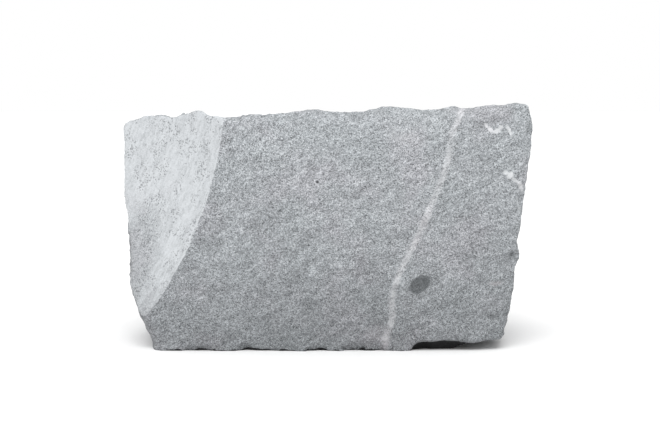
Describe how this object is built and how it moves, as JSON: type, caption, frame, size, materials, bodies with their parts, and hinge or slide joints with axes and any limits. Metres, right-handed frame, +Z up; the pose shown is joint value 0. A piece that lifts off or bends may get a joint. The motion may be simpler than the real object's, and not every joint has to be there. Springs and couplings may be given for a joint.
{
  "type": "granite block",
  "caption": "Rough-split block of grey granite with a flat base, a broad slightly domed face, a pale hollow fracture across its left end and a low undercut at its lower right.",
  "frame": {"origin": "on the ground, under the middle of the block's bounding box", "axes": "+Z up; the broad split face looks along -Y; +X runs along the block's length, away from the pale fracture"},
  "size_m": [0.8415, 0.4421, 0.5022],
  "materials": {
    "granite": "matte"
  },
  "bodies": {
    "root": {"granite_block": "granite"}
  },
  "joints": []
}
